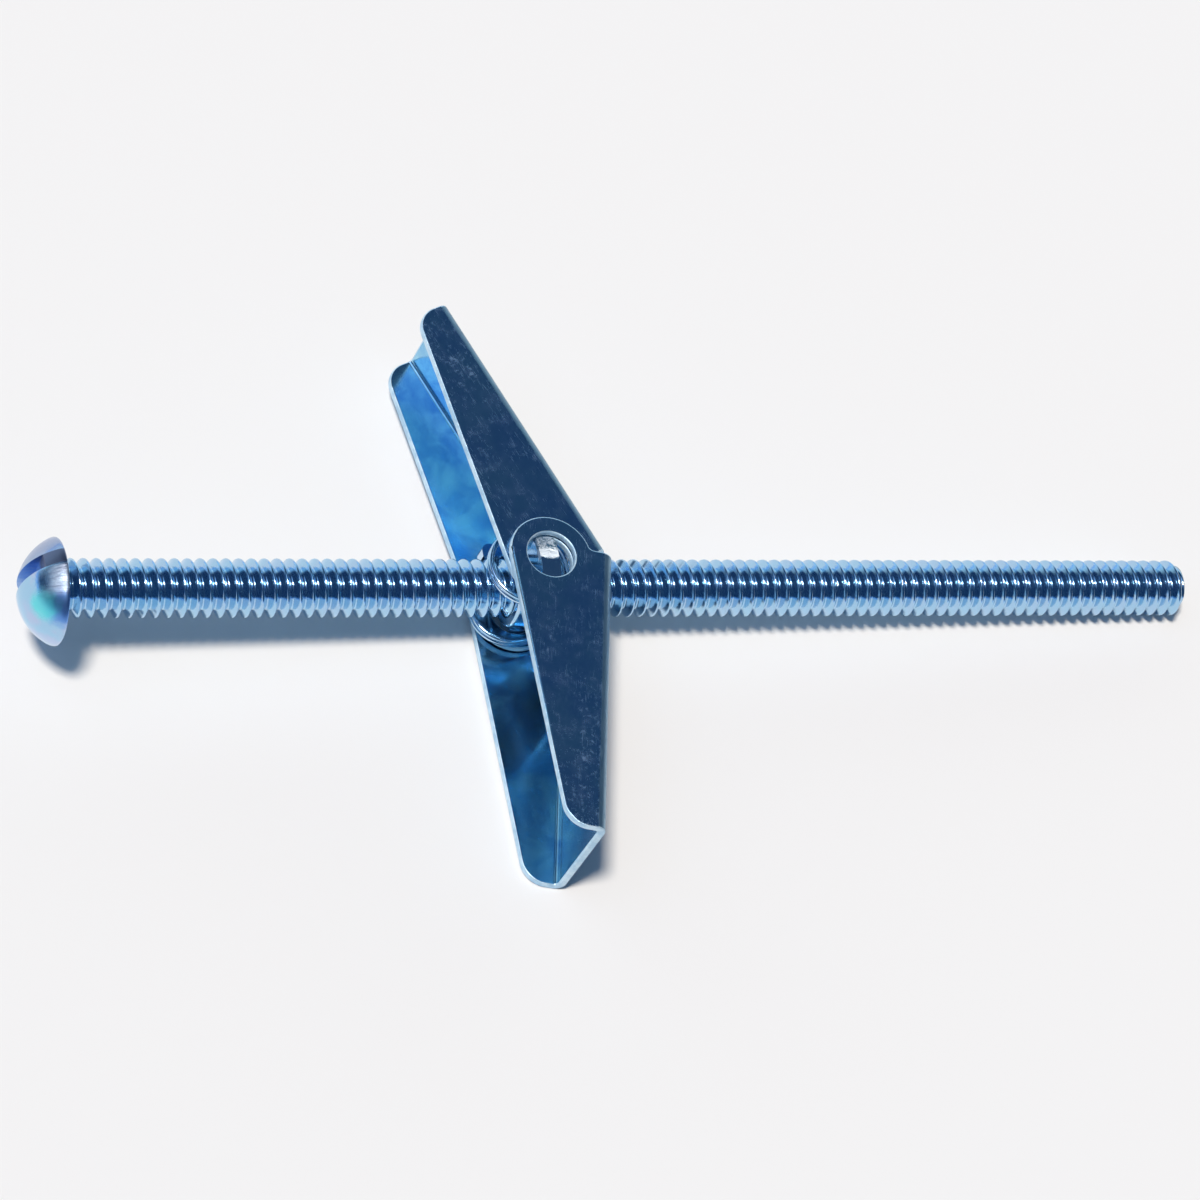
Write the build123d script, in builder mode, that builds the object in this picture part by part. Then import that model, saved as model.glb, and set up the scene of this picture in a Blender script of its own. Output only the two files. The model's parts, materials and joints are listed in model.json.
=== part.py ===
from build123d import *
import os
from math import acos, asin, atan2, cos, degrees, hypot, radians, sin

os.makedirs("parts", exist_ok=True)

# A spring-wing toggle bolt, in millimetres.
# It is drawn straight first: +X along the screw towards its tip, +Z along the wings' pins,
# and the origin where the two axes cross. The last section lays it down as it rests.

# Screw
thread_diameter = 4.75
screw_length = 99.5
tip_chamfer = 0.5
head_diameter = 8.55
head_height = 3.1
head_rim = 0.3
head_offset = 0.3
neck_radius = 0.35
slot_width = 1.3
slot_depth = 1.5
slot_angle = 107.0

# Nut with its two flat pins
head_to_pin = 39.6
thread_play = 0.05
nut_diameter = 6.4
boss_length = 2.0
boss_rounding = 0.3
pin_diameter = 3.94
pin_thickness = 1.6
pin_recess = 0.25
lip_length = 3.7
lip_width = 1.3
lip_thickness = 0.95
lip_rise = 0.55
lip_corner = 0.6

# Wings, stamped and folded from sheet
sheet = 0.65
wing_gap = 0.2
pivot_play = 0.05
web_reach = 5.35
wing_length = 24.0
heel_length = 1.15
ear_radius = 3.45
ear_fillet = 0.5
tip_depth = 3.3
tip_corner = 2.2
fold_radius = 1.0
notch_play = 0.35
outer_lean = 12.3
inner_lean = 22.5
side_shift = 0.15

# Spring, one wire with a coil round each pin
wire_diameter = 0.46
coil_radius = 3.15
coil_turns = 2
coil_pitch = 0.47
coil_play = 0.05
coil_side_play = 0.125
near_coil = (-1.15, 0.2)
far_coil = (-1.0, -0.3)
leg_reach = 9.0
bridge_bend = 1.0
arcs_per_turn = 4
wire_sides = 12

# Worked out from the sizes above
thread_radius = thread_diameter / 2
head_radius = head_diameter / 2
head_face = -head_to_pin
head_top = head_face - head_height
screw_tip = head_face + screw_length
chamfer_start = screw_tip - tip_chamfer
nut_radius = nut_diameter / 2
bore_radius = thread_radius + thread_play
pin_radius = pin_diameter / 2
hole_radius = pin_radius + pivot_play
web_inside = web_reach - sheet
wire_radius = wire_diameter / 2
coil_start = thread_radius + coil_play + wire_radius
coil_end = coil_start + coil_turns * coil_pitch
inner_width = 2 * (coil_end + wire_radius + coil_side_play + side_shift + sheet)
outer_width = inner_width + 2 * (wing_gap + sheet)
pin_span = outer_width - 2 * pin_recess


# Screw: a slotted round head, forged a little off the shank's axis, on a shank that is threaded
# over its whole length, drawn here at the thread's outer diameter
with BuildPart() as screw:
    with BuildSketch(Plane.YZ.offset(head_face)):
        Circle(thread_radius)
    extrude(amount=screw_length)
    chamfer(screw.edges().group_by(Axis.X)[-1], length=tip_chamfer)
    with BuildSketch(Plane.XY):
        with BuildLine():
            dome_height = head_height - head_rim
            dome_radius = (head_radius**2 + dome_height**2) / (2 * dome_height)
            dome_angle = degrees(atan2(head_radius, dome_radius - dome_height))
            dome_centre = (head_top + dome_radius, -head_offset)
            dome = CenterArc(dome_centre, dome_radius, 180 - dome_angle, dome_angle)
            Polyline(dome @ 1, (head_face, -head_offset), (head_face, head_radius - head_offset), dome @ 0)
        make_face()
    revolve(axis=Axis((0, -head_offset, 0), (1, 0, 0)))
    under_head = screw.edges().filter_by(GeomType.CIRCLE).filter_by_position(Axis.X, head_face, head_face)
    fillet(under_head.sort_by(SortBy.RADIUS)[0], radius=neck_radius)
    slot_direction = (0, cos(radians(slot_angle)), sin(radians(slot_angle)))
    with BuildSketch(Plane((head_top, -head_offset, 0), x_dir=slot_direction, z_dir=(1, 0, 0))):
        Rectangle(2 * head_diameter, slot_width)
    extrude(amount=slot_depth, mode=Mode.SUBTRACT)


# Nut: a flat plate whose ends are the two pins, a boss round the thread and a lip above it, both
# on the head's side
with BuildPart() as toggle_nut:
    with BuildSketch(Plane.YZ.offset(-boss_length)):
        Circle(nut_radius)
    extrude(amount=boss_length + pin_thickness / 2)
    fillet(toggle_nut.edges().group_by(Axis.X)[0], radius=boss_rounding)
    with BuildSketch(Plane.XY):
        Circle(pin_radius)
        Rectangle(pin_thickness, pin_diameter, mode=Mode.INTERSECT)
    extrude(amount=pin_span / 2, both=True)
    with BuildSketch(Plane.XY):
        with Locations((0, nut_radius + lip_rise)):
            Rectangle(lip_length, lip_thickness, align=(Align.MAX, Align.MAX))
        fillet(vertices().group_by(Axis.X)[0].sort_by(Axis.Y)[-1], radius=lip_corner)
    extrude(amount=lip_width / 2, both=True)
    with BuildSketch(Plane.YZ):
        Circle(bore_radius)
    extrude(amount=lip_length, both=True, mode=Mode.SUBTRACT)


# Wings: each is a channel folded from sheet, open towards the head, with round ears for the pins.
# A wing is drawn on its own plane: x along the wing from the pin, y towards the web.
outer_flat = Plane(
    (0, 0, side_shift),
    x_dir=(-sin(radians(outer_lean)), -cos(radians(outer_lean)), 0),
    z_dir=(0, 0, 1),
)
inner_flat = Plane(
    (0, 0, side_shift),
    x_dir=(-sin(radians(inner_lean)), cos(radians(inner_lean)), 0),
    z_dir=(0, 0, -1),
)


# The flange seen from its side: the ear, the free edge that leaves it in a tangent, the tip and
# the heel
def flange_profile(flat):
    ear_top = (ear_radius**2 - heel_length**2) ** 0.5
    tip_edge = web_reach - tip_depth
    edge_angle = degrees(atan2(tip_edge, wing_length) + asin(ear_radius / hypot(wing_length, tip_edge)))
    ear_start = degrees(atan2(ear_top, -heel_length))
    with BuildSketch(flat) as profile:
        with BuildLine():
            ear = CenterArc((0, 0), ear_radius, ear_start, 270 + edge_angle - ear_start)
            tip = FilletPolyline(ear @ 1, (wing_length, tip_edge), (wing_length, web_reach), radius=tip_corner)
            Polyline(tip @ 1, (-heel_length, web_reach), ear @ 0)
        make_face()
        fillet(vertices().sort_by_distance((-heel_length, ear_top))[0], radius=ear_fillet)
    return profile.sketch


# The channel seen along the wing: web and two flanges, with the round folds between them
def channel_section(flat, width):
    with BuildSketch(Plane(flat.origin, x_dir=flat.z_dir, z_dir=-flat.x_dir)) as section:
        with Locations((0, web_reach)):
            Rectangle(width, web_reach + wing_length, align=(Align.CENTER, Align.MAX))
        fillet(vertices().group_by(Axis.Y)[-1], radius=fold_radius)
        with Locations((0, web_inside)):
            Rectangle(
                width - 2 * sheet,
                web_inside + wing_length,
                align=(Align.CENTER, Align.MAX),
                mode=Mode.SUBTRACT,
            )
        fillet(vertices(Select.LAST).group_by(Axis.Y)[-1], radius=fold_radius - sheet)
    return section.sketch


# The round notch in the web's heel, through which the screw passes
def screw_notch(flat):
    notch_radius = thread_radius + notch_play
    with BuildSketch(Plane(flat.origin, x_dir=flat.x_dir, z_dir=flat.y_dir)) as notch:
        with Locations((-heel_length, 0)):
            Circle(notch_radius)
    return notch.sketch


with BuildPart() as outer_wing:
    extrude(flange_profile(outer_flat), amount=outer_width / 2, both=True)
    extrude(channel_section(outer_flat, outer_width), amount=2 * wing_length, both=True, mode=Mode.INTERSECT)
    extrude(screw_notch(outer_flat), amount=2 * web_reach, mode=Mode.SUBTRACT)
    with BuildSketch(outer_flat):
        Circle(hole_radius)
    extrude(amount=outer_width, both=True, mode=Mode.SUBTRACT)

with BuildPart() as inner_wing:
    extrude(flange_profile(inner_flat), amount=inner_width / 2, both=True)
    extrude(channel_section(inner_flat, inner_width), amount=2 * wing_length, both=True, mode=Mode.INTERSECT)
    extrude(screw_notch(inner_flat), amount=2 * web_reach, mode=Mode.SUBTRACT)
    with BuildSketch(inner_flat):
        Circle(hole_radius)
    extrude(amount=inner_width, both=True, mode=Mode.SUBTRACT)


# Spring: from a free end on the inner wing's web the wire runs to the pin, makes its turns round
# it and goes out to the outer wing's web, where it crosses to the other pin and comes back the
# same way. Each coil hangs loose on its pin, so the two sides differ a little.
leg_height = web_inside - wire_radius - coil_play
inner_end = inner_flat.from_local_coords(Vector(leg_reach, leg_height, 0))
outer_end = outer_flat.from_local_coords(Vector(leg_reach, leg_height, 0))


def coil_and_ends(centre):
    inner_x = inner_end.X - centre[0]
    inner_y = inner_end.Y - centre[1]
    outer_x = outer_end.X - centre[0]
    outer_y = outer_end.Y - centre[1]
    inner_angle = degrees(atan2(inner_y, inner_x) - acos(coil_radius / hypot(inner_x, inner_y)))
    outer_angle = degrees(atan2(outer_y, outer_x) + acos(coil_radius / hypot(outer_x, outer_y)))
    turned = coil_turns + (inner_angle - outer_angle) / 360
    coil = Helix(coil_pitch, coil_pitch * turned, coil_radius, lefthand=True, mode=Mode.PRIVATE)
    coil = coil.rotate(Axis.Z, inner_angle).translate((*centre, coil_start))
    free_end = coil @ 0 - (inner_x**2 + inner_y**2 - coil_radius**2) ** 0.5 * (coil % 0)
    crossing = coil @ 1 + (outer_x**2 + outer_y**2 - coil_radius**2) ** 0.5 * (coil % 1)
    halves = 2 * round(turned * arcs_per_turn)
    return [free_end] + [coil @ (spot / halves) for spot in range(halves + 1)] + [crossing]


upper_spots = coil_and_ends(near_coil)
lower_spots = [Vector(spot.X, spot.Y, -spot.Z) for spot in coil_and_ends(far_coil)]

with BuildPart() as wing_spring:
    with BuildLine() as wire:
        for spots in (upper_spots, lower_spots):
            Line(spots[0], spots[1])
            for start in range(1, len(spots) - 2, 2):
                ThreePointArc(spots[start], spots[start + 1], spots[start + 2])
        FilletPolyline(
            upper_spots[-2], upper_spots[-1], lower_spots[-1], lower_spots[-2], radius=bridge_bend
        )
    path = wire.wires()[0]
    with BuildSketch(Plane(path @ 0, z_dir=path % 0)):
        RegularPolygon(wire_radius, wire_sides)
    sweep(path=path)


# Laid down as it rests on a table: on two corners of the outer wing and on the screw's tip
lower_face = -outer_width / 2
heel_corner = outer_flat.from_local_coords(Vector(-heel_length, web_reach - fold_radius, lower_face))
wing_corner = outer_flat.from_local_coords(Vector(wing_length, web_reach - fold_radius, lower_face))
tip_rim = Vector(chamfer_start, 0, -thread_radius)
table_normal = (wing_corner - heel_corner).cross(tip_rim - heel_corner).normalized()
table = Plane(heel_corner, x_dir=(1, 0, 0), z_dir=table_normal)

pieces = {
    "screw": screw,
    "toggle_nut": toggle_nut,
    "outer_wing": outer_wing,
    "inner_wing": inner_wing,
    "wing_spring": wing_spring,
}
for piece in pieces.values():
    piece.part.move(table.location.inverse())

boxes = [piece.part.bounding_box() for piece in pieces.values()]
middle_x = (min(box.min.X for box in boxes) + max(box.max.X for box in boxes)) / 2
middle_y = (min(box.min.Y for box in boxes) + max(box.max.Y for box in boxes)) / 2
lowest = min(box.min.Z for box in boxes)
base = Vector(middle_x, middle_y, lowest)
for name, piece in pieces.items():
    piece.part.move(Location(-base))
    piece.part.label = name
    export_step(piece.part, "parts/" + name + ".step")

# Where the axes and the bearing faces lie now
for name, spot in {
    "pivot": Vector(0, 0, 0),
    "head face": Vector(head_face, -(head_radius + thread_radius) / 2, 0),
    "slot": Vector(head_top, -head_offset, 0),
    "free thread middle": Vector((chamfer_start + hypot(web_reach, heel_length)) / 2, 0, 0),
}.items():
    print(name, table.to_local_coords(spot) - base)
for name, way in {"screw axis": Vector(1, 0, 0), "pin axis": Vector(0, 0, 1)}.items():
    print(name, Vector(way.dot(table.x_dir), way.dot(table.y_dir), way.dot(table.z_dir)))
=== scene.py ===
import json
import math

import bmesh
import bpy
from mathutils import Matrix, Vector


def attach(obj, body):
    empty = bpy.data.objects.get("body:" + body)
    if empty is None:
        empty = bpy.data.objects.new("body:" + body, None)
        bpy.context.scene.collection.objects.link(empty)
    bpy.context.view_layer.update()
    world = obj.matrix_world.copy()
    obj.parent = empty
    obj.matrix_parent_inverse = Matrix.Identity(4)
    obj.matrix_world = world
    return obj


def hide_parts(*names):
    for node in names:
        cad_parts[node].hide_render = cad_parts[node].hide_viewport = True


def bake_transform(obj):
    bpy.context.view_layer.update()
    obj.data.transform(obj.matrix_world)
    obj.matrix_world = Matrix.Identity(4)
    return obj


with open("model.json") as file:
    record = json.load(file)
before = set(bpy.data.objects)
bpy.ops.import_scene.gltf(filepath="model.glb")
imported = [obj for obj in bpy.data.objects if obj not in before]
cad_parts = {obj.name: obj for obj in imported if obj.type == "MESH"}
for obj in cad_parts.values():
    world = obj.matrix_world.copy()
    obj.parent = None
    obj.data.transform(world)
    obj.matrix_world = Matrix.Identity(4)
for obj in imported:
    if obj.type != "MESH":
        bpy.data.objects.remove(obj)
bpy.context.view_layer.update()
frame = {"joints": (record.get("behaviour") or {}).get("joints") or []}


# Screw: a slotted round-head machine screw of mild steel. The head is forged a little off the
# shank's axis, the thread is rolled from the head to the tip, and all of it is zinc plated with
# a blue passivation. Lengths are in millimetres from the pins' axis, positive towards the tip.
joints = {joint["name"]: joint for joint in frame["joints"]}
along_screw = Vector(joints["nut_travel"]["axis"]).normalized()
along_pins = Vector(joints["inner_wing_fold"]["axis"]).normalized()
across_screw = along_pins.cross(along_screw).normalized()
pin_crossing = Vector(joints["inner_wing_fold"]["pos_m"])
turned = Matrix((along_screw, across_screw, along_pins)).transposed().to_4x4()
bolt_place = Matrix.Translation(pin_crossing) @ turned @ Matrix.Scale(0.001, 4)

crest_radius = 2.375
root_radius = 1.725
blank_radius = 2.04
pitch = 25.4 / 24
thread_steps = 40
runout = 0.9
head_face = -39.6
head_top = -42.66
head_radius = 4.275
head_rim = 0.3
rim_rounding = 0.12
head_offset = -0.3
neck_radius = 0.35
neck_overlap = 0.03
stem_length = 0.6
head_ease = 0.07
slot_width = 1.3
slot_depth = 1.5
slot_angle = math.radians(87)
slot_aside = 0.8
slot_run = 9
screw_tip = 59.9
tip_chamfer = 0.5
head_segments = 112


def arc(centre, radius, start, end, count):
    """Points of an arc, both ends included, with its angles in degrees."""
    angles = [math.radians(start + (end - start) * step / count) for step in range(count + 1)]
    return [
        (centre[0] + radius * math.cos(angle), centre[1] + radius * math.sin(angle)) for angle in angles
    ]


def new_piece(name, mesh_builder, place):
    mesh = bpy.data.meshes.new(name)
    bmesh.ops.recalc_face_normals(mesh_builder, faces=mesh_builder.faces[:])
    mesh_builder.to_mesh(mesh)
    mesh_builder.free()
    mesh.shade_smooth()
    piece = bpy.data.objects.new(name, mesh)
    bpy.context.scene.collection.objects.link(piece)
    piece.matrix_world = place
    bpy.context.view_layer.update()
    return piece


def settle(piece):
    """Works the piece's modifiers into its mesh."""
    graph = bpy.context.evaluated_depsgraph_get()
    worked = bpy.data.meshes.new_from_object(piece.evaluated_get(graph))
    piece.modifiers.clear()
    piece.data = worked


def forge(piece, operation, tool):
    """Joins a second form to the piece, cuts it out of it or keeps only what they share."""
    step = piece.modifiers.new(operation, "BOOLEAN")
    step.operation = operation
    step.solver = "EXACT"
    step.object = tool
    settle(piece)
    bpy.data.objects.remove(tool)


def ease_edges(piece, width, limit=35, segments=3, clamped=True):
    """Rounds every edge sharper than the limit, and keeps flat faces flat."""
    rounding = piece.modifiers.new("eased edges", "BEVEL")
    rounding.width = width
    rounding.segments = segments
    rounding.limit_method = "ANGLE"
    rounding.angle_limit = math.radians(limit)
    rounding.use_clamp_overlap = clamped
    flat = piece.modifiers.new("flat faces", "WEIGHTED_NORMAL")
    flat.weight = 80
    flat.keep_sharp = False


def lay_down(piece):
    """Puts the piece's mesh where it lies on the table, in metres."""
    settle(piece)
    piece.data.transform(piece.matrix_world)
    piece.matrix_world = Matrix.Identity(4)


def turned_form(name, profile, centre, segments, place):
    """A closed form turned round a line along x, from (x, radius) points that start and end on it."""
    builder = bmesh.new()
    rings = []
    for x, radius in profile:
        if radius == 0:
            rings.append([builder.verts.new((x, centre, 0))])
            continue
        ring = []
        for step in range(segments):
            angle = 2 * math.pi * step / segments
            ring.append(
                builder.verts.new((x, centre + radius * math.cos(angle), radius * math.sin(angle)))
            )
        rings.append(ring)
    for first, second in zip(rings, rings[1:]):
        for step in range(segments):
            after = (step + 1) % segments
            corners = [first[step % len(first)], first[after % len(first)]]
            corners += [second[after % len(second)], second[step % len(second)]]
            builder.faces.new(list(dict.fromkeys(corners)))
    return new_piece(name, builder, place)


def pressed_form(name, outline, depths, axes, place):
    """An outline drawn on two of the axes and drawn out along the third, between two depths."""
    builder = bmesh.new()
    ends = []
    for depth in depths:
        ends.append(
            [
                builder.verts.new(Vector(axes[0]) * a + Vector(axes[1]) * b + Vector(axes[2]) * depth)
                for a, b in outline
            ]
        )
    builder.faces.new(ends[0])
    builder.faces.new(ends[1])
    for step in range(len(outline)):
        after = (step + 1) % len(outline)
        builder.faces.new((ends[0][step], ends[0][after], ends[1][after], ends[1][step]))
    return new_piece(name, builder, place)


# the rolled thread, laid out along its own helix and cut square at both ends
rolled = [
    (-0.529, root_radius),
    (-0.462, root_radius + 0.02),
    (-0.41, root_radius + 0.08),
    (-0.118, crest_radius - 0.075),
    (-0.066, crest_radius - 0.018),
    (0.0, crest_radius),
    (0.066, crest_radius - 0.018),
    (0.118, crest_radius - 0.075),
    (0.41, root_radius + 0.08),
    (0.462, root_radius + 0.02),
]
thread_start = head_face - 2 * pitch
turns = math.ceil((screw_tip - head_face) / pitch) + 4
thread = bmesh.new()
rows = []
for step in range(turns * thread_steps + 1):
    angle = 2 * math.pi * step / thread_steps
    row = []
    for offset, radius in rolled:
        x = thread_start + pitch * step / thread_steps + offset
        formed = min(1.0, max(0.0, (x - head_face - 0.25) / runout))
        radius = blank_radius + (radius - blank_radius) * formed
        radius = min(radius, crest_radius + screw_tip - tip_chamfer - x)
        row.append(thread.verts.new((x, radius * math.cos(angle), radius * math.sin(angle))))
    rows.append(row)
for step in range(len(rows) - 1):
    for spot in range(len(rolled) - 1):
        thread.faces.new(
            (rows[step][spot], rows[step + 1][spot], rows[step + 1][spot + 1], rows[step][spot + 1])
        )
    if step + 1 + thread_steps < len(rows):
        thread.faces.new(
            (
                rows[step][-1],
                rows[step + 1][-1],
                rows[step + 1 + thread_steps][0],
                rows[step + thread_steps][0],
            )
        )
for cut, outwards in ((head_face - 0.8, -1), (screw_tip, 1)):
    cut_edges = bmesh.ops.bisect_plane(
        thread,
        geom=thread.verts[:] + thread.edges[:] + thread.faces[:],
        plane_co=(cut, 0, 0),
        plane_no=(outwards, 0, 0),
        clear_outer=True,
    )["geom_cut"]
    cut_edges = [part for part in cut_edges if isinstance(part, bmesh.types.BMEdge)]
    bmesh.ops.edgeloop_fill(thread, edges=cut_edges)
screw = new_piece("plated_screw", thread, bolt_place)

# the round head, with its slot cut across and a small fillet under it
dome_height = head_face - head_top - head_rim
dome_radius = (head_radius**2 + dome_height**2) / (2 * dome_height)
dome_reach = math.degrees(math.asin(head_radius / dome_radius)) - 2
dome = [
    (head_top + dome_radius * (1 - math.cos(math.radians(turn))), dome_radius * math.sin(math.radians(turn)))
    for turn in [dome_reach * step / 26 for step in range(27)]
]
rim = arc((head_face - rim_rounding, head_radius - rim_rounding), rim_rounding, 90, 0, 5)
stem_radius = blank_radius - neck_overlap
neck = arc((head_face + neck_radius, stem_radius + neck_radius), neck_radius, 180, 270, 6)
head_profile = dome + [(head_face - head_rim + 0.06, head_radius)] + rim + neck
head_profile += [(head_face + stem_length, stem_radius), (head_face + stem_length, 0)]
head = turned_form("head", head_profile, head_offset, head_segments, bolt_place)
slot_way = (0, math.cos(slot_angle), math.sin(slot_angle))
slot_side = (0, -math.sin(slot_angle), math.cos(slot_angle))
slot_shift = (head_offset + slot_aside) * slot_side[1]
slot_outline = [
    (-1, slot_shift - slot_width / 2),
    (slot_depth, slot_shift - slot_width / 2),
    (slot_depth, slot_shift + slot_width / 2),
    (-1, slot_shift + slot_width / 2),
]
slot_outline = [(head_top + x, side) for x, side in slot_outline]
slot_axes = ((1, 0, 0), slot_side, slot_way)
slot_cutter = pressed_form("slot", slot_outline, (-slot_run, slot_run), slot_axes, bolt_place)
forge(head, "DIFFERENCE", slot_cutter)
ease_edges(head, head_ease, 38)
settle(head)
forge(screw, "UNION", head)
lay_down(screw)
screw.data.shade_smooth()


class Field:
    """A value, colour or vector that changes over a surface, with the maths that is done on it."""

    def __init__(self, socket):
        self.socket = socket

    def add(self, kind, settings=(), sockets=(), output=0):
        tree = self.socket.id_data
        node = tree.nodes.new(kind)
        for name, value in dict(settings).items():
            setattr(node, name, value)
        for name, value in dict(sockets).items():
            if isinstance(value, Field):
                tree.links.new(value.socket, node.inputs[name])
            elif isinstance(value, tuple) and node.inputs[name].type == "RGBA":
                node.inputs[name].default_value = (*value, 1.0)
            else:
                node.inputs[name].default_value = value
        return Field(node.outputs[output])

    def math(self, operation, first, second=0.0):
        return self.add("ShaderNodeMath", {"operation": operation}, {0: first, 1: second})

    def __add__(self, other):
        return self.math("ADD", self, other)

    def __sub__(self, other):
        return self.math("SUBTRACT", self, other)

    def __mul__(self, other):
        return self.math("MULTIPLY", self, other)

    def __radd__(self, other):
        return self.math("ADD", other, self)

    def __rsub__(self, other):
        return self.math("SUBTRACT", other, self)

    def __rmul__(self, other):
        return self.math("MULTIPLY", other, self)

    def between(self, low, high):
        """0 below low, 1 above high, and a smooth step from one to the other."""
        settings = {"interpolation_type": "SMOOTHSTEP"}
        return self.add("ShaderNodeMapRange", settings, {"Value": self, "From Min": low, "From Max": high})

    def grain(self, scale, detail=3.0, roughness=0.5, distortion=0.0, stretch=(1, 1, 1), turn=(0, 0, 0)):
        """Noise over this place, a number of about 0.5, with its scale per millimetre."""
        spot = self.add("ShaderNodeMapping", {}, {"Vector": self, "Rotation": turn, "Scale": stretch})
        sockets = {"Vector": spot, "Scale": scale, "Detail": detail}
        sockets.update({"Roughness": roughness, "Distortion": distortion})
        return self.add("ShaderNodeTexNoise", {}, sockets)

    def coloured(self, low, high):
        """The first colour where this is 0 and the second where it is 1."""
        return self.add("ShaderNodeMix", {"data_type": "RGBA"}, {0: self, 6: low, 7: high}, 2)


def plated_metal(name, place):
    """A material of plated metal, its shader, and the spot on the piece in its own millimetres."""
    material = bpy.data.materials.new(name)
    material.use_nodes = True
    nodes = material.node_tree.nodes
    shader = nodes["Principled BSDF"]
    shader.inputs["Metallic"].default_value = 1.0
    location, rotation, scale = place.inverted().decompose()
    table_spot = Field(nodes.new("ShaderNodeTexCoord").outputs["Object"])
    sockets = {"Vector": table_spot, "Location": location, "Rotation": rotation.to_euler(), "Scale": scale}
    return material, shader, table_spot.add("ShaderNodeMapping", {}, sockets)


def finish(shader, colour, roughness, height, relief):
    """Puts the finish on: colour, roughness, and height as a relief in millimetres."""
    tree = shader.id_data
    tree.links.new(colour.socket, shader.inputs["Base Color"])
    tree.links.new(roughness.socket, shader.inputs["Roughness"])
    sockets = {"Height": height, "Strength": 1.0, "Distance": relief * 0.001}
    tree.links.new(height.add("ShaderNodeBump", {}, sockets).socket, shader.inputs["Normal"])


plate_blue = (0.39, 0.63, 0.84)
plate_deep = (0.30, 0.55, 0.82)
plate_lilac = (0.48, 0.60, 0.82)
reflected_royal = (0.15, 0.34, 0.76)
dome_shade_grey = (0.36, 0.42, 0.60)
shade_and_hatch_grey = (0.17, 0.20, 0.30)
reflected_turquoise = (0.16, 0.80, 0.84)
highlight_dimming_grey = (0.40, 0.42, 0.50)
turquoise_reflection_spot = (-41.4, -2.6, 2.2)
royal_reflection_spot = (-39.8, -3.0, 2.6)

screw_metal, shader, place = plated_metal("blue_zinc_screw", bolt_place)
spot = place.add("ShaderNodeSeparateXYZ", {}, {"Vector": place}, "X")
spot_y = Field(spot.socket.node.outputs["Y"])
spot_z = Field(spot.socket.node.outputs["Z"])
on_head = 1 - spot.between(head_face - 0.05, head_face + 0.05)
mottle = place.grain(0.5, 3, 0.5).between(0.42, 0.62)
fine = place.grain(7.0, 4, 0.6)
rub = place.grain(1.2, 5, 0.7, stretch=(0.4, 2.0, 2.0)).between(0.5, 0.75)
colour = (mottle * (0.3 + 0.7 * on_head)).coloured(plate_blue, plate_lilac)
ragged = place.grain(1.1, 4, 0.6) * 1.2
# painted shade: the head's +y side is written in a dimmer, greyer blue
shaded_upper_dome = (spot_y + ragged).between(0.9, 2.6) * on_head
colour = (0.85 * shaded_upper_dome).coloured(colour, dome_shade_grey)
clouded = shaded_upper_dome * 0.5
# painted reflections: a royal blue patch and a turquoise one on the dome, where the head mirrors its
# surroundings
for centre, wide, tint in ((royal_reflection_spot, 2.7, reflected_royal), (turquoise_reflection_spot, 2.3, reflected_turquoise)):
    reach = place.add("ShaderNodeVectorMath", {"operation": "DISTANCE"}, {0: place, 1: centre}, "Value")
    painted_reflection = (1 - (reach + ragged).between(wide - 1.1, wide)) * on_head
    colour = (0.9 * painted_reflection).coloured(colour, tint)
    clouded = clouded.math("MAXIMUM", clouded, painted_reflection)
from_slot = spot_y * math.sin(slot_angle) - spot_z * math.cos(slot_angle) + slot_shift
from_slot = from_slot.math("ABSOLUTE", from_slot)
in_slot = (1 - from_slot.between(slot_width / 2 - 0.02, slot_width / 2 + 0.03)) * on_head
streaks = place.grain(1.4, 4, 0.6, stretch=(0.5, 0.5, 2.0)).between(0.4, 0.6)
# painted reflection and shade in the slot: its walls are written royal blue with streaks, and its end
# towards +z dark grey
colour = (in_slot * (0.6 + 0.4 * streaks)).coloured(colour, reflected_royal)
colour = (in_slot * (spot_z + ragged).between(2.0, 3.0)).coloured(colour, shade_and_hatch_grey)
around = spot_z.math("ARCTAN2", spot_z, spot_y - head_offset)
hatch_place = place.add("ShaderNodeCombineXYZ", {}, {"X": around * 30, "Y": spot * 1.1, "Z": 3.7})
# painted shade over the lamp's highlight: the zone near the rim where it falls is written greyer, and darker
# hatch lines are drawn only there
highlight_zone = spot.between(head_face - 2.2, head_face - 0.9) * on_head * spot_z.between(0.8, 2.6)
highlight_zone = highlight_zone * spot_y.between(-2.7, -1.7) * (1 - spot_y.between(-0.3, 0.2))
hatch = hatch_place.grain(1.0, 4, 0.7, distortion=0.4).between(0.3, 0.7) * highlight_zone
colour = (highlight_zone * 0.6).coloured(colour, highlight_dimming_grey)
colour = (hatch * 0.7).coloured(colour, shade_and_hatch_grey)
roughness = 0.1 + 0.08 * rub + 0.06 * fine + 0.3 * highlight_zone + 0.2 * in_slot + 0.2 * clouded
height = fine * 0.25 + rub * 0.3 + hatch * 1.4
finish(shader, colour, roughness, height, 0.01)
screw.data.materials.clear()
screw.data.materials.append(screw_metal)
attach(screw, "screw")
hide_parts("screw")


# Nut: pressed from thick steel, a threaded boss on a flat plate whose two ends are the pivot pins,
# with a lip above the thread on the head's side. The pins' ends show how they were sheared.
boss_radius = 3.2
boss_start = -2.0
boss_rounding = 0.3
plate_half = 0.8
pin_radius = 1.97
pin_end = 5.35
bore_radius = 2.425
lip_start = -3.7
lip_low = 2.6
lip_high = 3.75
lip_half = 0.65
lip_corner = 0.6
nut_ease = 0.09
plate_sky = (0.50, 0.68, 0.86)
sheared_steel = (0.72, 0.80, 0.88)
torn_steel = (0.10, 0.22, 0.32)

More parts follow.
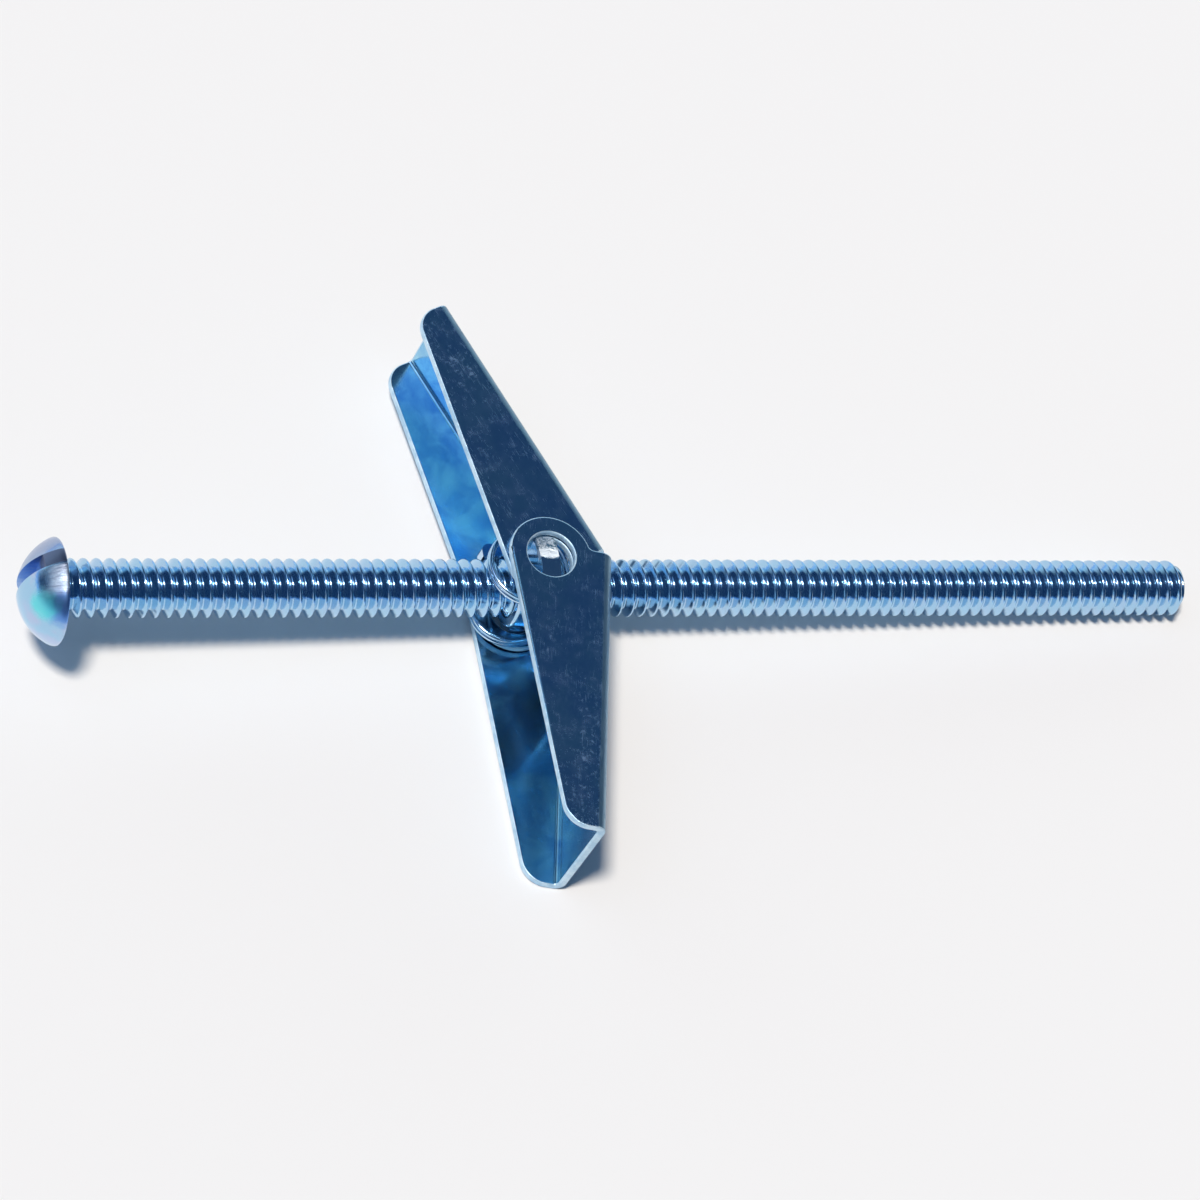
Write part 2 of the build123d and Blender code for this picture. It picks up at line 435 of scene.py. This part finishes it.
boss_edge = arc((boss_start + boss_rounding, boss_radius - boss_rounding), boss_rounding, 180, 90, 5)
boss_profile = [(boss_start, 0)] + boss_edge + [(plate_half, boss_radius), (plate_half, 0)]
nut = turned_form("pressed_nut", boss_profile, 0, 96, bolt_place)
pin_top = math.degrees(math.asin(plate_half / pin_radius))
pin_outline = arc((0, 0), pin_radius, 90 - pin_top, 90 + pin_top, 12)
pin_outline += arc((0, 0), pin_radius, 270 - pin_top, 270 + pin_top, 12)
pins = pressed_form(
    "pins", pin_outline, (-2 * pin_end, 2 * pin_end), ((1, 0, 0), (0, 1, 0), (0, 0, 1)), bolt_place
)
crown = turned_form("crown", [(-3, 0), (-3, pin_end), (3, pin_end), (3, 0)], 0, 160, bolt_place)
forge(pins, "INTERSECT", crown)
forge(nut, "UNION", pins)
lip_outline = [(0, lip_low), (lip_start, lip_low)]
lip_outline += arc((lip_start + lip_corner, lip_high - lip_corner), lip_corner, 180, 90, 6)
lip_outline += [(0, lip_high)]
lip = pressed_form(
    "lip", lip_outline, (-lip_half, lip_half), ((1, 0, 0), (0, 1, 0), (0, 0, 1)), bolt_place
)
forge(nut, "UNION", lip)
bore = turned_form("bore", [(-6, 0), (-6, bore_radius), (6, bore_radius), (6, 0)], 0, 96, bolt_place)
forge(nut, "DIFFERENCE", bore)
ease_edges(nut, nut_ease)
lay_down(nut)

nut_metal, shader, place = plated_metal("blue_zinc_nut", bolt_place)
axes = place.add("ShaderNodeSeparateXYZ", {}, {"Vector": place}, "Z")
end_reach = axes.math("ABSOLUTE", axes)
lengthwise = Field(axes.socket.node.outputs["X"])
across = Field(axes.socket.node.outputs["Y"])
cut_end = end_reach.between(4.75, 4.95)
fine = place.grain(8.0, 3, 0.6)
ragged = place.grain(1.6, 4, 0.65) * 0.8
sheared = cut_end * (across + ragged).between(0.2, 0.4)
torn = cut_end * (across + ragged).between(0.9, 1.3)
crystals = place.grain(3.4, 5, 0.75)
colour = place.grain(0.7).between(0.4, 0.6).coloured(plate_blue, plate_sky)
colour = sheared.coloured(colour, sheared_steel)
colour = (torn * crystals.between(0.46, 0.56)).coloured(colour, torn_steel)
roughness = 0.13 + 0.06 * fine + 0.3 * sheared
slope = (lengthwise * 0.17 + (across + 0.6) * 0.14) * sheared
height = fine * 0.004 + slope + crystals * sheared * 0.07 + crystals * torn * 0.14
finish(shader, colour, roughness, height, 1.0)
nut.data.materials.clear()
nut.data.materials.append(nut_metal)
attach(nut, "nut")
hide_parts("toggle_nut")


# Outer wing: a channel folded from sheet steel, stamped with two round ears that turn on the pins
# outside those of the other wing. Its sheared rims are a little rounded, its faces finely scuffed.
sheet = 0.65
web_reach = 5.35
wing_length = 24.0
heel_length = 1.15
ear_radius = 3.45
ear_fillet = 0.5
ear_hole = 2.02
tip_edge = 2.05
tip_corner = 2.2
fold_outside = 1.0
fold_inside = 0.35
notch_radius = 2.725
side_shift = 0.15
rim_ease = 0.17
outer_width = 11.2
outer_lean = math.radians(12.3)
plate_cyan = (0.38, 0.66, 0.84)
inside_reflection_cyan = (0.42, 0.73, 0.87)
inside_reflection_blue = (0.24, 0.52, 0.78)
fold_shade = (0.20, 0.33, 0.43)
plate_haze = (0.40, 0.58, 0.86)
plate_scuffed = (0.46, 0.66, 0.96)
rim_deep = (0.42, 0.64, 0.82)
pale_rim_highlight = (0.66, 0.84, 0.96)


def wing_place(lean, side):
    """Where a wing lies: x along it from the pins, y towards its web."""
    away = Vector((-math.sin(lean), side * math.cos(lean), 0))
    towards_web = Vector((math.cos(lean), side * math.sin(lean), 0))
    axes = Matrix((away, towards_web, away.cross(towards_web))).transposed().to_4x4()
    return bolt_place @ Matrix.Translation((0, 0, side_shift)) @ axes


def folded_wing(name, width, place):
    rise = math.degrees(
        math.atan2(tip_edge, wing_length) + math.asin(ear_radius / math.hypot(wing_length, tip_edge))
    )
    fillet_x = -heel_length - ear_fillet
    fillet_y = math.sqrt((ear_radius + ear_fillet) ** 2 - fillet_x**2)
    fillet_turn = math.degrees(math.atan2(-fillet_y, -fillet_x))
    ear_start = math.degrees(math.atan2(fillet_y, fillet_x))
    tip_y = tip_edge + tip_corner * math.tan(math.radians((90 - rise) / 2))
    outline = [(wing_length, web_reach), (-heel_length, web_reach)]
    outline += arc((fillet_x, fillet_y), ear_fillet, 0, fillet_turn, 6)
    outline += arc((0, 0), ear_radius, ear_start, 270 + rise, 60)[1:]
    outline += arc((wing_length - tip_corner, tip_y), tip_corner, rise - 90, 0, 18)
    half = width / 2
    flanges = ((1, 0, 0), (0, 1, 0), (0, 0, 1))
    wing = pressed_form(name, outline, (-half, half), flanges, place)

    # the sheet seen along the wing: flange, fold, web, fold, flange, and back inside
    open_side = -2 * web_reach
    web_inside = web_reach - sheet
    channel = [(-half, open_side)]
    channel += arc((-half + fold_outside, web_reach - fold_outside), fold_outside, 180, 90, 10)
    channel += arc((half - fold_outside, web_reach - fold_outside), fold_outside, 90, 0, 10)
    channel += [(half, open_side), (half - sheet, open_side)]
    inner_half = half - sheet
    channel += arc((inner_half - fold_inside, web_inside - fold_inside), fold_inside, 0, 90, 6)
    channel += arc((-inner_half + fold_inside, web_inside - fold_inside), fold_inside, 90, 180, 6)
    channel += [(-inner_half, open_side)]
    across_wing = ((0, 0, 1), (0, 1, 0), (1, 0, 0))
    folded = pressed_form("folded", channel, (-2 * wing_length, 2 * wing_length), across_wing, place)
    forge(wing, "INTERSECT", folded)

    hole = pressed_form("hole", arc((0, 0), ear_hole, 0, 355, 71), (-width, width), flanges, place)
    forge(wing, "DIFFERENCE", hole)
    notch_outline = arc((-heel_length, 0), notch_radius, 0, 355, 71)
    through_web = ((1, 0, 0), (0, 0, 1), (0, 1, 0))
    notch = pressed_form("notch", notch_outline, (0, 2 * web_reach), through_web, place)
    forge(wing, "DIFFERENCE", notch)
    ease_edges(wing, rim_ease, 30, 4, False)
    lay_down(wing)
    return wing


def plate_wing(wing, name, place, half, seed):
    """Gives the wing its scuffed faces, and its sheared rims, which are rougher and paler, partly from the
    shearing and partly as a painted highlight.

    Half is half the wing's width, and seed moves its scuffs, so that no two wings wear alike.
    """
    wing.data.materials.clear()
    wing.data.materials.append(scuffed_zinc(name + "_faces", place, half, seed))
    wing.data.materials.append(sheared_zinc(name + "_rims", place, seed))
    turn = place.inverted()
    for face in wing.data.polygons:
        spot = turn @ face.center
        facing = (turn.to_3x3() @ face.normal).normalized()
        on_fold = spot.y > web_reach - fold_outside - 0.02 and abs(facing.x) < 0.1
        face.material_index = 0 if on_fold or abs(facing.z) > 0.97 else 1


def scuffed_zinc(name, place, half, seed):
    """Blue zinc on rolled sheet: faint clouds, fine scuffs every way and pale specks by the tip, with
    painted reflection on the channel's inside faces and painted shade on its folds.
    """
    material, shader, spot = plated_metal(name, place)
    along = spot.add("ShaderNodeSeparateXYZ", {}, {"Vector": spot}, "X")
    below_web = Field(along.socket.node.outputs["Y"]) - web_reach
    sideways = Field(along.socket.node.outputs["Z"])
    below_flange = sideways.math("ABSOLUTE", sideways) - half
    on_fold = (below_web + below_flange).between(-1.0, -0.75)
    outside = below_web.math("MAXIMUM", below_web, below_flange).between(-0.45, -0.3)
    spot = spot.add("ShaderNodeVectorMath", {"operation": "ADD"}, {0: spot, 1: (seed, 2 * seed, 3 * seed)})
    clouds = spot.grain(0.25, 4, 0.55).between(0.38, 0.66)
    haze = spot.grain(0.7, 5, 0.7, distortion=0.5).between(0.42, 0.72) * outside
    fine = spot.grain(6.0, 4, 0.65)
    scuffs = None
    for turn, length in ((0.3, 0.5), (0.9, 0.35), (1.5, 0.5), (2.2, 0.4), (2.8, 0.3)):
        lines = spot.grain(1.5, 3, 0.6, distortion=0.6, stretch=(length, 4.0, 1.0), turn=(0, 0, turn))
        lines = lines.between(0.62, 0.72)
        scuffs = lines if scuffs is None else scuffs.math("MAXIMUM", scuffs, lines)
    where = spot.grain(0.3, 3, 0.6, turn=(0.4, 0.2, 0.1)).between(0.42, 0.62)
    worn = 0.25 * where + 0.75 * (along + where * 6).between(5, 26)
    specks = spot.grain(2.2, 5, 0.75).between(0.5, 0.68) * worn
    marks = specks.math("MAXIMUM", specks * 0.75, scuffs * (0.25 + 0.3 * where)) * outside
    # painted reflection: the channel's inside faces are written in their own lighter cyan and deeper blue
    # patches
    inside_reflection_patches = spot.grain(0.35, 4, 0.6, distortion=0.8).between(0.36, 0.64)
    inside = inside_reflection_patches.coloured(inside_reflection_cyan, inside_reflection_blue)
    colour = outside.coloured(inside, clouds.coloured(plate_cyan, plate_deep))
    colour = (haze * 0.7).coloured(colour, plate_haze)
    colour = marks.coloured(colour, plate_scuffed)
    # painted shade: the folds' outer faces are written darker, which dims their highlight
    colour = (0.85 * on_fold).coloured(colour, fold_shade)
    roughness = 0.15 + 0.05 * fine + 0.1 * haze + 0.3 * marks + 0.2 * on_fold
    height = fine * 0.2 + clouds * 0.6 + haze * 0.3 - marks * 0.5
    finish(shader, colour, roughness, height, 0.008)
    return material


def sheared_zinc(name, place, seed):
    """The same zinc on the sheet's cut rims, left matt and pale by the shearing, and paler still as a
    painted highlight.
    """
    material, shader, spot = plated_metal(name, place)
    shader.inputs["Metallic"].default_value = 0.4
    spot = spot.add("ShaderNodeVectorMath", {"operation": "ADD"}, {0: spot, 1: (3 * seed, seed, 2 * seed)})
    uneven = spot.grain(0.8, 4, 0.65).between(0.35, 0.65)
    pits = spot.grain(5.0, 4, 0.7)
    # the rims' pale blues are partly the sheared metal's own tone and partly a painted highlight
    colour = uneven.coloured(rim_deep, pale_rim_highlight)
    finish(shader, colour, 0.3 + 0.25 * pits, pits * 1.0 + uneven * 1.0, 0.03)
    return material


outer_place = wing_place(outer_lean, -1)
outer_wing = folded_wing("outer_stamping", outer_width, outer_place)
plate_wing(outer_wing, "outer_wing", outer_place, outer_width / 2, 11.0)
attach(outer_wing, "outer_wing")
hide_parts("outer_wing")


# Inner wing: the same stamping on a narrower fold, so that its ears lie between those of the
# outer wing on the same pins.
inner_width = 9.5
inner_lean = math.radians(22.5)

inner_place = wing_place(inner_lean, 1)
inner_wing = folded_wing("inner_stamping", inner_width, inner_place)
plate_wing(inner_wing, "inner_wing", inner_place, inner_width / 2, 37.0)
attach(inner_wing, "inner_wing")
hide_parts("inner_wing")


# Spring: one bright round wire. A free end presses on the inner wing's web, the wire winds round
# a pin, crosses over inside the outer wing's web and comes back the same way round the other pin.
wire_radius = 0.23
coil_radius = 3.15
coil_turns = 2
coil_pitch = 0.47
coil_start = 2.655
coil_centres = {1: (-1.15, 0.2), -1: (-1.0, -0.3)}
leg_reach = 9.0
leg_height = 4.42
bridge_bend = 1.0
bending_share = 0.3
coil_steps = 56
wire_pale = (0.55, 0.72, 0.88)


def on_wing(lean, side, reach, height):
    x = -reach * math.sin(lean) + height * math.cos(lean)
    return x, side * (reach * math.cos(lean) + height * math.sin(lean))


def wire_piece(name, points):
    curve = bpy.data.curves.new(name, "CURVE")
    curve.dimensions = "3D"
    curve.bevel_depth = wire_radius
    curve.bevel_resolution = 6
    curve.use_fill_caps = True
    line = curve.splines.new("POLY")
    line.points.add(len(points) - 1)
    for point, spot in zip(line.points, points):
        point.co = (*spot, 1.0)
    drawn = bpy.data.objects.new(name + "_line", curve)
    bpy.context.scene.collection.objects.link(drawn)
    graph = bpy.context.evaluated_depsgraph_get()
    mesh = bpy.data.meshes.new_from_object(drawn.evaluated_get(graph))
    bpy.data.objects.remove(drawn)
    mesh.name = name
    mesh.shade_smooth()
    piece = bpy.data.objects.new(name, mesh)
    bpy.context.scene.collection.objects.link(piece)
    piece.matrix_world = bolt_place
    lay_down(piece)
    return piece


inner_hold = on_wing(inner_lean, 1, leg_reach, leg_height)
outer_hold = on_wing(outer_lean, -1, leg_reach, leg_height)
coils, free_legs, crossings = {}, {}, {}
for side, (centre_x, centre_y) in coil_centres.items():
    inner_x, inner_y = inner_hold[0] - centre_x, inner_hold[1] - centre_y
    outer_x, outer_y = outer_hold[0] - centre_x, outer_hold[1] - centre_y
    inner_far = math.hypot(inner_x, inner_y)
    outer_far = math.hypot(outer_x, outer_y)
    inner_angle = math.atan2(inner_y, inner_x) - math.acos(coil_radius / inner_far)
    outer_angle = math.atan2(outer_y, outer_x) + math.acos(coil_radius / outer_far)
    sweep = 2 * math.pi * coil_turns + inner_angle - outer_angle
    climb = coil_pitch / (2 * math.pi)
    count = round(sweep / (2 * math.pi) * coil_steps)
    coil = []
    for step in range(count + 1):
        angle = inner_angle - sweep * step / count
        z = coil_start + climb * (inner_angle - angle)
        coil.append(
            Vector((centre_x + coil_radius * math.cos(angle), centre_y + coil_radius * math.sin(angle), z))
        )
    flat_slope = climb / coil_radius
    start_run = math.sqrt(inner_far**2 - coil_radius**2)
    end_run = math.sqrt(outer_far**2 - coil_radius**2)
    start_way = Vector((math.sin(inner_angle), -math.cos(inner_angle), flat_slope)).normalized()
    end_way = Vector((math.sin(outer_angle), -math.cos(outer_angle), flat_slope)).normalized()
    free_end = coil[0] - start_run * start_way
    crossing = coil[-1] + end_run * end_way
    for spots in (coil, [free_end], [crossing]):
        for spot in spots:
            spot.z *= side
    coils[side] = coil
    free_legs[side] = [free_end.lerp(coil[0], step / 24) for step in range(25)]
    crossings[side] = crossing


def bend(before, corner, after, radius, count):
    """The round bend of the wire at a corner of its line."""
    back = (before - corner).normalized()
    on = (after - corner).normalized()
    half_turn = back.angle(on) / 2
    centre = corner + (back + on).normalized() * radius / math.sin(half_turn)
    start = corner + back * radius / math.tan(half_turn) - centre
    end = corner + on * radius / math.tan(half_turn) - centre
    spread = start.angle(end)
    spots = []
    for step in range(count + 1):
        share = step / count
        spots.append(
            centre
            + (start * math.sin((1 - share) * spread) + end * math.sin(share * spread)) / math.sin(spread)
        )
    return spots


upper_bend = bend(coils[1][-1], crossings[1], crossings[-1], bridge_bend, 14)
lower_bend = bend(crossings[1], crossings[-1], coils[-1][-1], bridge_bend, 14)
bridge = [coils[1][-1].lerp(upper_bend[0], step / 24) for step in range(24)]
bridge += upper_bend
bridge += [upper_bend[-1].lerp(lower_bend[0], step / 8) for step in range(1, 8)]
bridge += lower_bend
bridge += [lower_bend[-1].lerp(coils[-1][-1], step / 24) for step in range(1, 25)]

spring_metal, shader, place = plated_metal("spring_wire", bolt_place)
drawn_lines = place.grain(5.0, 4, 0.6)
colour = place.grain(0.9).between(0.4, 0.6).coloured(wire_pale, plate_blue)
finish(shader, colour, 0.12 + 0.08 * drawn_lines, drawn_lines * 1.0, 0.006)

# each free leg is drawn as a piece of its own, apart from its coil
for side, word in ((1, "near"), (-1, "far")):
    coil = wire_piece("spring_" + word + "_coil", coils[side])
    coil.data.materials.append(spring_metal)
    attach(coil, "nut")
    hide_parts("wing_spring")
    leg = wire_piece("spring_" + word + "_leg", free_legs[side])
    leg.data.materials.append(spring_metal)
    bend_end = free_legs[side][-1].lerp(free_legs[side][0], bending_share)
    bolt_place @ free_legs[side][-1]
    bolt_place @ bend_end
    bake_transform(leg)
    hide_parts("wing_spring")
crossing_wire = wire_piece("spring_bridge", bridge)
crossing_wire.data.materials.append(spring_metal)
bridge_middle = (crossings[1] + crossings[-1]) / 2
coil_middle = (coils[1][-1] + coils[-1][-1]) / 2
bend_end = coil_middle.lerp(bridge_middle, bending_share)
bolt_place @ bend_end
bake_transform(crossing_wire)
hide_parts("wing_spring")


# Floor, light and camera: the bolt lies on a pale matt table under one soft warm lamp and a cool
# studio, bright round its walls and dark overhead, seen as in the photograph.
floor_colour = (0.885, 0.885, 0.89)
lamp_way = Vector((-0.41, -0.12, 1.0)).normalized()
lamp_colour = (1.0, 0.91, 0.79)
lamp_strength = 3.0
dark_room = (0.026, 0.062, 0.124)
window_light = (0.66, 0.86, 0.98)
glow_way = Vector((-0.5, 0.0, 0.866))
glow_light = (0.40, 0.60, 0.94)
wall_foot = (0.34, 0.60, 1.0)
lamp_softness = math.radians(9)

table = bmesh.new()
bmesh.ops.create_grid(table, x_segments=8, y_segments=8, size=3.0)
floor = new_piece("floor", table, Matrix.Identity(4))
floor_material = bpy.data.materials.new("matt_table")
floor_material.use_nodes = True
floor_shader = floor_material.node_tree.nodes["Principled BSDF"]
floor_shader.inputs["Base Color"].default_value = (*floor_colour, 1.0)
floor_shader.inputs["Roughness"].default_value = 1.0
floor_shader.inputs["Specular IOR Level"].default_value = 0.0
floor.data.materials.append(floor_material)

world = bpy.data.worlds.new("studio")
bpy.context.scene.world = world
world.use_nodes = True
background = world.node_tree.nodes["Background"]
sky = Field(world.node_tree.nodes.new("ShaderNodeTexCoord").outputs["Generated"])
height = sky.add("ShaderNodeSeparateXYZ", {}, {"Vector": sky}, "Z")
behind = Field(height.socket.node.outputs["Y"])
right = Field(height.socket.node.outputs["X"])
window = behind.between(0.3, 0.75) * (1 - height.between(0.3, 0.62))
towards_glow = sky.add("ShaderNodeVectorMath", {"operation": "DOT_PRODUCT"}, {0: sky, 1: glow_way}, "Value")
glow = towards_glow.between(math.cos(math.radians(34)), math.cos(math.radians(12)))
walls = window.coloured(dark_room, window_light)
walls = glow.coloured(walls, glow_light)
low_wall = (1 - height.between(0.05, 0.14)) * (1 - right.between(0.45, 0.75))
walls = low_wall.coloured(walls, wall_foot)
world.node_tree.links.new(walls.socket, background.inputs["Color"])
background.inputs["Strength"].default_value = 1.0

lamp = bpy.data.lights.new("soft_lamp", "SUN")
lamp.energy = lamp_strength
lamp.color = lamp_colour
lamp.angle = lamp_softness
lamp_stand = bpy.data.objects.new("soft_lamp", lamp)
lamp_stand.rotation_euler = (turned.to_3x3() @ lamp_way).to_track_quat("Z", "Y").to_euler()
bpy.context.scene.collection.objects.link(lamp_stand)

camera_spot = Vector((-130.35, -160.44, 293.48))
camera_right = Vector((0.9258, -0.1816, 0.3316))
camera_back = Vector((-0.3781, -0.4417, 0.8136))
camera = bpy.data.cameras.new("camera")
camera.lens = 132.38
camera.sensor_width = 36.0
camera.clip_start = 0.01
view = Matrix((camera_right, camera_back.cross(camera_right), camera_back)).transposed().to_4x4()
camera_stand = bpy.data.objects.new("camera", camera)
camera_stand.matrix_world = Matrix.Translation(bolt_place @ camera_spot) @ turned @ view
bpy.context.scene.collection.objects.link(camera_stand)
bpy.context.scene.camera = camera_stand
bpy.context.scene.view_settings.view_transform = "Standard"
